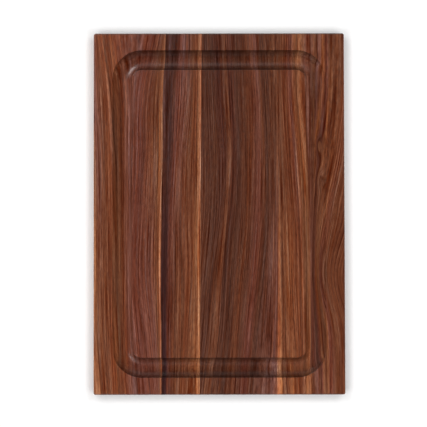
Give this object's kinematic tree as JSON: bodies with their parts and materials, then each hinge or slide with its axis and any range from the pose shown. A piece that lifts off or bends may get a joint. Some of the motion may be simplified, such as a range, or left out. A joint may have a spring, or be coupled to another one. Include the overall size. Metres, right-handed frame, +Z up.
{
  "type": "cutting board",
  "caption": "Rectangular edge-glued walnut cutting board with square corners and a rounded juice groove around its top face.",
  "frame": {"origin": "centre of the underside", "axes": "+X across the grain to the right, +Y along the grain to the far end, +Z up out of the grooved face"},
  "size_m": [0.25, 0.36, 0.025],
  "materials": {
    "left_stave_walnut": "sanded and oiled walnut, satin",
    "middle_stave_walnut": "sanded and oiled dark walnut, satin",
    "narrow_stave_walnut": "sanded and oiled orange-brown walnut, satin",
    "right_stave_walnut": "sanded and oiled figured walnut, satin",
    "wood_glue": "cured wood glue, matt amber brown"
  },
  "bodies": {
    "root": {"left_stave": "left_stave_walnut", "left_glue_line": "wood_glue", "middle_stave": "middle_stave_walnut", "middle_glue_line": "wood_glue", "narrow_stave": "narrow_stave_walnut", "right_glue_line": "wood_glue", "right_stave": "right_stave_walnut"}
  },
  "joints": []
}
